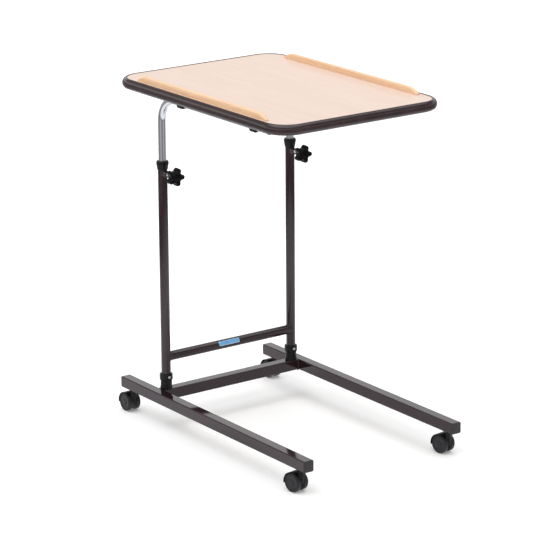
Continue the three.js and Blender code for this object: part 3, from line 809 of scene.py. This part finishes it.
def is_margin(point):
    """True in the paler margin of the sticker."""
    x = abs(point.x / MM - STICKER_X)
    angle = degrees(atan2(point.z / MM - CROSSBAR_Z, POST_Y - point.y / MM))
    return x > STICKER_LENGTH / 2 - 2 or angle < 10 or angle > 58


# ------------------------------------------------------------ clamps
def lobed(inset):
    """Outline of the five-lobed knob, its tips a little flattened, drawn in by inset."""

    def radius(angle):
        wave = tanh(1.5 * cos(5 * angle)) / tanh(1.5)
        return 16.35 + 3.35 * wave - inset

    return radius


def toward(first, second, share):
    return lambda angle: first(angle) * (1 - share) + second * share


def knob_shape():
    """The star knob along +Z from the post's axis: hub, lobed grip, dished face and centre cap."""
    rings = [
        (0, 48.3), (4.3, 48.3), (4.3, 32.5), (4.8, 32), (8.0, 32), (8.6, 32.3), (8.9, 33), (9.0, 38.6),
        (9.5, 39.6), (10.4, 40), (lobed(2.6), 40.05), (lobed(1.2), 40.3), (lobed(0.35), 41.0),
        (lobed(0), 42.2), (lobed(0.1), 50), (lobed(0.35), 53.4), (lobed(0.9), 54.8), (lobed(1.9), 55.7),
        (lobed(3.0), 56), (toward(lobed(3.8), 11.6, 0.2), 55.95),
        (toward(lobed(4.6), 10.4, 0.55), 55.3), (toward(lobed(5.4), 9.2, 0.85), 54.7), (8.3, 54.6),
        (7.7, 54.7), (7.5, 55.1), (7.1, 55.35), (5, 55.6), (2.5, 55.75), (0, 55.8),
    ]
    return polar(rings, 150)


def make_clamps():
    for side, sign in SIDES.items():
        at = shift(sign * POST_X, POST_Y, KNOB_Z)
        stud = moved(threaded(4, 8.3, 48, 1.25, 0.62), at @ TO_FRONT)
        body, node = f"{side}_stud", f"{side}_clamp_stud"
        piece(f"{side}_threaded_stud", [stud], ZINC, body, "zinc", node, sharp=80)
        turn = Matrix.Rotation(KNOB_TILT, 4, "Y")
        knob = moved(knob_shape(), at @ turn @ TO_FRONT)
        body, node = f"{side}_knob", f"{side}_clamp_knob"
        piece(f"{side}_star_knob", [knob], GLOSS_BLACK, body, "black_plastic", node)


# ------------------------------------------------------------ risers
def riser_stations():
    """(y, z, angle, ovality) along the tube, y from the post's axis; angle is 0 up and 90 along -Y."""
    bend_z = ARM_Z - RISER_BEND
    made = [(0, RISER_FOOT + (bend_z - RISER_FOOT) * k / 12, 0, 0) for k in range(12)]
    steps = 36
    for k in range(steps + 1):
        angle = pi / 2 * k / steps
        y = -RISER_BEND * (1 - cos(angle))
        z = bend_z + RISER_BEND * sin(angle)
        made.append((y, z, angle, sin(2 * angle)))
    front = ARM_FRONT_Y - POST_Y
    made += [(-RISER_BEND + (front + RISER_BEND) * k / 12, ARM_Z, pi / 2, 0) for k in range(1, 13)]
    return made


def riser_shape(sides=56):
    stations = riser_stations()
    layers = [(RISER_RADIUS, stations), (RISER_RADIUS - TUBE_WALL, stations[::-1])]
    rings = []
    for radius, run in layers:
        for y, z, angle, oval in run:
            ring = []
            for around in angles(sides):
                across = radius * cos(around) * (1 + 0.012 * oval)
                out = radius * sin(around) * (1 - 0.03 * oval)
                ring.append((across, y + out * cos(angle), z + out * sin(angle)))
            rings.append(ring)
    return loft(rings, closed=True)


def make_risers():
    for side, sign in SIDES.items():
        at = shift(sign * POST_X, POST_Y)
        body = f"{side}_leg"
        riser = moved(riser_shape(), at)
        piece(f"{side}_chrome_riser", [riser], CHROME, body, "chrome", f"{side}_riser")
        head = [(7.9, 0.3, 0.2), (7.9, 1.4, 0.8), (6.2, 2.5, 1.5), (0, 2.8)]
        profile = [(0, -10), (6.2, -10), (6.2, 0.3)] + head
        place = shift(sign * POST_X, ARM_FRONT_Y, ARM_Z) @ TO_FRONT
        plug = moved(lathe(rounded(profile, 5), 56), place)
        piece(f"{side}_tube_plug", [plug], BLACK, body, "black_plastic", f"{side}_arm_plug")


# ------------------------------------------------------------ top
def make_board():
    inset = EDGING_NOSE + GAP
    corner = TOP_CORNER - inset
    outline = rounded_rectangle(TOP_WIDTH - 2 * inset, TOP_LENGTH - 2 * inset, corner, 16, 1000)
    heights = [TOP_HEIGHT - BOARD_THICKNESS, TOP_HEIGHT]
    rings = [[(p.x, p.y + TOP_CENTRE_Y, z) for p, _ in outline] for z in heights]
    board = build("board", [loft(rings)], [LAMINATE, CORE, BACKING])
    grooves = []
    for sign in SIDES.values():
        size = (LIP_WIDTH + 2 * GAP, LIP_LENGTH + 2 * GAP, 2 * LIP_GROOVE)
        grooves.append(box_shape(size, (sign * LIP_X, TOP_CENTRE_Y, TOP_HEIGHT)))
    carve(board, grooves)
    for polygon in board.data.polygons:
        polygon.material_index = 0 if polygon.normal.z > 0.5 else 2 if polygon.normal.z < -0.5 else 1
    finish_piece(board, "top", ["table_top_board"])


def make_edging():
    """The strip's rounded section carried round the board, butted at the middle of the rear edge."""
    path = rounded_rectangle(
        TOP_WIDTH - 2 * EDGING_NOSE, TOP_LENGTH - 2 * EDGING_NOSE, TOP_CORNER - EDGING_NOSE, 18, 12
    )
    middle = TOP_HEIGHT - EDGING_HEIGHT / 2
    half = EDGING_HEIGHT / 2
    bead = 1.1
    section = [(0, -half)]
    for k in range(1, 25):
        angle = radians(-90 + 7 * k)
        rise = half + bead if angle > 0 else half
        section.append((EDGING_NOSE * cos(angle) ** 0.92, rise * sin(angle)))
    section += [(1.0, half + bead), (0.4, half + 0.93 * bead), (0.08, half + 0.6 * bead), (0, half)]
    rings = []
    for point, normal in path:
        ring = []
        for out, up in section:
            p = point + normal * out
            ring.append((p.x, p.y + TOP_CENTRE_Y, middle + up))
        rings.append(ring)
    top_run = next(i for i, (p, n) in enumerate(path) if n.y > 0.999 and p.x <= 0.5)
    rings = rings[top_run:] + rings[:top_run]
    joint = 0.12
    first = [(x - joint, y, z) for x, y, z in rings[0]]
    last = [(x + joint, y, z) for x, y, z in rings[0]]
    strip = loft([first] + rings[1:] + [last])
    piece("edging_profile", [strip], EDGING, "top", "edging", "edging_strip", sharp=50)


def lip_shape():
    """One lip along Y, its top rounded and its ends sloped; z = 0 is the laminate."""
    half, foot = LIP_LENGTH / 2, GAP - LIP_GROOVE
    flat_half = half - LIP_END_SLOPE
    slope = []
    steps = 14
    for k in range(steps + 1):
        t = k / steps
        y = (1 - t) ** 2 * half + 2 * t * (1 - t) * (half - 0.45 * LIP_END_SLOPE) + t * t * flat_half
        z = (1 - t) ** 2 * LIP_END_HEIGHT + (1 - (1 - t) ** 2) * LIP_HEIGHT
        slope.append((y, z))
    run = slope + [(flat_half * (1 - k / 10), LIP_HEIGHT) for k in range(1, 20)]
    run += [(-y, z) for y, z in reversed(slope)]
    rings = []
    for index, (y, height) in enumerate(run):
        at_end = index in (0, len(run) - 1)
        width = LIP_WIDTH - (2.0 if at_end else 0.0)
        top = min(3.6, 0.6 * height, 0.48 * width)
        section = [
            (-width / 2, foot), (width / 2, foot), (width / 2, height, top), (-width / 2, height, top),
        ]
        outline = rounded(section, 7, closed=True)
        rings.append([(x, y, z) for x, z in outline])
    return loft(rings)


def clip_object(name, slot, place):
    """A moulded saddle that wraps the arm under the board; slot widens its bore towards +X."""
    top = TOP_HEIGHT - BOARD_THICKNESS - GAP - ARM_Z
    bore = RISER_RADIUS + GAP
    bottom = -(bore + 2)
    half, ear = 11.5, 20
    outline = [
        (-ear, top), (-ear, top - 3, 1.2), (-half, top - 3, 1.5), (-half, bottom, 6),
        (half + slot, bottom, 6), (half + slot, top - 3, 1.5), (ear + slot, top - 3, 1.2),
        (ear + slot, top),
    ]
    flat = rounded(outline, 6, closed=True)
    rings = [[(x, y, z) for x, z in flat] for y in (-CLIP_LENGTH / 2, CLIP_LENGTH / 2)]
    clip = build(name, [loft(rings)], [BLACK])
    carve(clip, [moved(cylinder(bore, -12, 12), turned(90, "X"))])
    if slot:
        carve(clip, [moved(cylinder(bore, -12, 12), shift(slot) @ turned(90, "X"))])
        carve(clip, [box_shape((slot, 24, 2 * bore), (slot / 2, 0, 0))])
    for x in (-(half + ear) / 2, (half + ear) / 2 + slot):
        carve(clip, [moved(cylinder(1.9, top - 6, top + 3, 24), shift(x))])
    soften(clip, 0.45, 2, 50)
    clip.data.transform(Matrix.Translation(Vector(place) * MM))
    screws = []
    for x in (-(half + ear) / 2, (half + ear) / 2 + slot):
        head = screw_head(3.1, 1.7, 1.7, 12)
        screws.append(moved(head, shift(place[0] + x, place[1], place[2] + top - 3) @ turned(180, "X")))
    return clip, screws


def make_top():
    make_board()
    make_edging()
    for side, sign in SIDES.items():
        lip = moved(lip_shape(), shift(sign * LIP_X, TOP_CENTRE_Y, TOP_HEIGHT))
        piece(f"{side}_beech_lip", [lip], BEECH, "top", "beech", f"{side}_lip", sharp=45)
        for end, y in CLIP_YS.items():
            place = (sign * POST_X, y, ARM_Z)
            clip, screws = clip_object(f"{side}_{end}_saddle", CLIP_SLOT[side], place)
            finish_piece(clip, "top", [f"{side}_{end}_tube_clip"])
            piece(f"{side}_{end}_saddle_screws", screws, ZINC, "top", "zinc")


# ------------------------------------------------------------ castors
def hood_shape(steps=40):
    """The curved guard over both wheels; 0 degrees is behind the axle and 90 is above it."""
    low, high, half = -12, 128, 15.5
    rings = []
    for j in range(steps + 1):
        angle = radians(low + (high - low) * j / steps)
        end = 0.35 if j in (0, steps) else 0.0
        x, inner, outer = half - end, 20.8 + end, 22.0 - end
        corners = [(-x, inner, 0.5), (x, inner, 0.5), (x, outer, 0.55), (-x, outer, 0.55)]
        section = rounded(corners, 4, closed=True)
        rings.append([(x, r * cos(angle), r * sin(angle)) for x, r in section])
    return loft(rings)


def web_shape():
    """The plate between the wheels, from the guard round to the stem."""
    flat = []
    for k in range(33):
        angle = radians(-12 + (140 * k / 32))
        flat.append((21.3 * cos(angle), 21.3 * sin(angle)))
    flat += [(-19.2, 9), (-17.5, 0), (-8, -6.5), (0, -9), (8, -8)]
    rings = []
    for x, inset in ((-4.6, 0.03), (-4.1, 0), (4.1, 0), (4.6, 0.03)):
        rings.append([(x, y * (1 - inset), z * (1 - inset)) for y, z in flat])
    return loft(rings)


def housing_object(name):
    boss_top = RAIL_BOTTOM - 2 * GAP - 2 - WHEEL_RADIUS
    obj = build(name, [web_shape()], [CASTOR])
    boss = rounded([(0, -2), (7.5, -2), (7.5, boss_top, 0.8), (0, boss_top)], 4)
    unions = [
        hood_shape(),
        moved(lathe(rounded([(0, -4.6), (9, -4.6, 0.5), (9, 4.6, 0.5), (0, 4.6)], 3), 48), TO_SIDE),
        moved(lathe(boss, 48), shift(y=-CASTER_TRAIL)),
    ]
    carve(obj, unions, "UNION")
    wells = []
    for low, high in ((4.6, 30), (-30, -4.6)):
        wells.append(moved(cylinder(20.6, low, high, 96), TO_SIDE))
    bores = [
        moved(cylinder(3.3, 30 - WHEEL_RADIUS - GAP, 40), shift(y=-CASTER_TRAIL)),
        moved(cylinder(3.3, -30, 30), TO_SIDE),
    ]
    carve(obj, wells + bores)
    return obj


def wheel_shapes():
    """One wheel on the +X side, as turned profiles: tyre, then the dished hub with its cap."""
    tyre = rounded(
        [
            (16.2, 5.2), (18.4, 5.0, 0.8), (20.0, 6.2, 1.6), (20.0, 10), (20.0, 13.8, 2.4),
            (17.4, 15.5, 1.2), (16.5, 14.9, 0.4), (16.2, 14.2),
        ],
        5,
    )
    hub = rounded(
        [
            (3.3, 5.0), (16.1, 5.3, 0.4), (16.1, 14.3, 0.4), (15.2, 14.9, 0.5), (14.2, 14.4, 0.6),
            (8.0, 13.9, 1), (6.6, 13.9, 0.4), (6.2, 14.6, 0.5), (4.5, 15.2, 1), (0, 15.35),
        ],
        5,
    )
    hub = [(0, 14.9), (3.3, 14.9)] + hub
    return lathe(tyre, 96, closed=True), lathe(hub, 96)


def stem_shape():
    collar_top = RAIL_BOTTOM - GAP
    profile = [
        (0, 30), (2.6, 30), (3, 30.5), (3, collar_top - 2), (7.5, collar_top - 2, 0.4),
        (7.5, collar_top, 0.4), (5, collar_top), (5, RAIL_BOTTOM + 17, 0.5), (4, RAIL_BOTTOM + 18.5),
        (0, RAIL_BOTTOM + 18.5),
    ]
    return lathe(rounded(profile, 4), 48)


def make_casters():
    master = housing_object("master_housing")
    tyre, hub = wheel_shapes()
    for side, sign in SIDES.items():
        for end, y in CASTER_YS.items():
            name = f"{side}_{end}_caster"
            corner = shift(sign * RAIL_X, y) @ Matrix.Rotation(SWIVEL[end], 4, "Z")
            axle = corner @ shift(y=CASTER_TRAIL, z=WHEEL_RADIUS)
            piece(f"{name}_pin", [moved(stem_shape(), corner)], ZINC, "base", "zinc", f"{name}_stem")

            housing = master.copy()
            housing.data = master.data.copy()
            housing.name = f"{name}_hood"
            bpy.context.scene.collection.objects.link(housing)
            metres = axle.copy()
            metres.translation = axle.translation * MM
            housing.data.transform(metres)
            finish_piece(housing, f"{name}_fork", [f"{name}_housing"])

            for letter, turn in (("a", 180), ("b", 0)):
                place = axle @ turned(turn, "Z") @ TO_SIDE
                shapes = [(*moved(tyre, place), 0), (*moved(hub, place), 1)]
                node = f"{name}_wheel_{letter}"
                looks, body = [RUBBER, WHEEL_FACE], f"{name}_{letter}"
                piece(f"{node}_tyred", shapes, looks, body, "castor_plastic", node)
    bpy.data.objects.remove(master)


def dress_kept_nodes():
    """Hidden CAD parts that keep their own mesh."""
    looks = {"socket_stub": LACQUER, "foot_bush": NYLON, "axle": ZINC}
    for name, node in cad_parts.items():
        for ending, look in looks.items():
            if name.endswith(ending):
                node.data.materials.clear()
                node.data.materials.append(look)


# ------------------------------------------------------------ stage, light and camera
def make_stage():
    """A wide pale floor with faint shadows, and below it a glowing sheet that only glossy surfaces see:
    a painted reflection of a pool of light on the floor, with painted shade in its middle where the
    table stands.
    """
    wide = 3e4
    corners = [(-wide, -wide), (wide, -wide), (wide, wide), (-wide, wide)]
    floor = build("floor", [loft([[(x, y, z) for x, y in corners] for z in (-20, 0)])], [])
    look = Look("pale_floor", Roughness=0.9, Specular_IOR_Level=0.1, Emission_Strength=0.14)
    look.shader.inputs["Base Color"].default_value = (0.97, 0.97, 0.97, 1)
    floor.data.materials.append(look.material)
    floor.visible_glossy = False

    # Painted reflection: this sheet lights nothing and the camera never sees it; glossy surfaces mirror
    # its glow in place of the floor.
    reflection_sheet = build("painted_floor_reflection", [([(x, y, -1) for x, y in corners], [(0, 1, 2, 3)])], [])
    for setting in ("camera", "diffuse", "transmission", "volume_scatter", "shadow"):
        setattr(reflection_sheet, f"visible_{setting}", False)
    glow = Look("painted_reflection_glow")
    glow.material.cycles.emission_sampling = "NONE"
    distance = glow.nodes.new("ShaderNodeVectorMath")
    distance.operation = "LENGTH"
    glow.links.new(glow.object_coordinates, distance.inputs[0])
    distance = distance.outputs["Value"]
    # Painted shade in the reflection: dimmer within the base, where the floor lies under the table;
    # bright round it, and dark further out.
    stops = [  # distance in metres from the middle of the base, brightness
        (0, 0.62), (0.27, 0.67), (0.33, 0.96), (0.8, 1.08), (1.3, 0.82), (1.62, 0.28), (1.8, 0.19),
        (2.05, 0.36), (8, 0.3),
    ]
    reach = stops[-1][0]
    tones = [(r / reach, (v, v, v * 1.05)) for r, v in stops]
    tone = ramp(glow.nodes, glow.links, glow.spread(distance, 0, reach), tones)
    parts = glow.nodes.new("ShaderNodeSeparateXYZ")
    glow.links.new(glow.object_coordinates, parts.inputs[0])
    bearing = glow.maths("ARCTAN2", parts.outputs["Y"], parts.outputs["X"])
    # Painted reflection: brighter and darker bands round the far edge of the glow, by bearing.
    waves, phase, depth = 4.0, 5.27, 0.4
    wave = glow.maths("COSINE", glow.maths("ADD", glow.share(bearing, waves), phase), 0.0)
    wave = glow.share(wave, glow.spread(distance, 1.7, 2.0, 0, depth))
    emission = glow.nodes.new("ShaderNodeEmission")
    glow.links.new(tone, emission.inputs["Color"])
    glow.links.new(glow.maths("ADD", wave, 1.0), emission.inputs["Strength"])
    glow.links.new(emission.outputs[0], glow.nodes["Material Output"].inputs["Surface"])
    glow.nodes.remove(glow.shader)
    reflection_sheet.data.materials.append(glow.material)


def ramp(nodes, links, factor, stops):
    node = nodes.new("ShaderNodeValToRGB")
    links.new(factor, node.inputs["Fac"])
    elements = node.color_ramp.elements
    for element, (position, tone) in zip(elements, (stops[0], stops[-1])):
        element.position = position
        element.color = (*tone, 1)
    for position, tone in stops[1:-1]:
        elements.new(position).color = (*tone, 1)
    return node.outputs["Color"]


def make_light():
    """A soft studio: bright overhead and low down, dim between, and brighter on one side."""
    world = bpy.data.worlds.new("studio")
    bpy.context.scene.world = world
    world.use_nodes = True
    nodes, links = world.node_tree.nodes, world.node_tree.links
    place = nodes.new("ShaderNodeTexCoord").outputs["Generated"]
    split = nodes.new("ShaderNodeSeparateXYZ")
    links.new(place, split.inputs[0])
    stops = [
        (0.0, 0.30), (0.10, 0.36), (0.17, 1.0), (0.24, 1.15), (0.38, 1.10), (0.45, 0.30), (0.72, 0.30),
        (0.80, 2.15), (1.0, 2.15),
    ]
    tone = ramp(nodes, links, split.outputs["Z"], [(z, (v, v, v)) for z, v in stops])
    background = nodes["Background"]
    links.new(tone, background.inputs["Color"])
    side = nodes.new("ShaderNodeVectorMath")
    side.operation = "DOT_PRODUCT"
    links.new(place, side.inputs[0])
    side.inputs[1].default_value = (-0.814, 0.581, 0)
    strength = nodes.new("ShaderNodeMapRange")
    links.new(side.outputs["Value"], strength.inputs["Value"])
    strength.inputs["From Min"].default_value = -1
    strength.inputs["To Min"].default_value = 0.7
    strength.inputs["To Max"].default_value = 1.3
    links.new(strength.outputs["Result"], background.inputs["Strength"])


def make_camera():
    azimuth, elevation, roll = (radians(v) for v in (-35.525, 16.313, -0.412))
    target, distance = Vector((0, 0.06696, 0.34863)), 5.8767
    back = Vector(
        (
            sin(azimuth) * cos(elevation),
            -cos(azimuth) * cos(elevation),
            sin(elevation),
        )
    )
    right = Vector((cos(azimuth), sin(azimuth), 0))
    up = back.cross(right)
    across = cos(roll) * right + sin(roll) * up
    upward = cos(roll) * up - sin(roll) * right
    data = bpy.data.cameras.new("camera")
    data.sensor_width = 36
    data.lens = 188.24
    data.clip_start, data.clip_end = 0.1, 200
    camera = bpy.data.objects.new("camera", data)
    bpy.context.scene.collection.objects.link(camera)
    facing = Matrix((across, upward, back)).transposed().to_4x4()
    camera.matrix_world = Matrix.Translation(target + back * distance) @ facing
    bpy.context.scene.camera = camera
    bpy.context.scene.view_settings.view_transform = "Standard"


make_camera()
make_base()
make_posts()
make_clamps()
make_risers()
make_top()
make_casters()
dress_kept_nodes()
make_stage()
make_light()
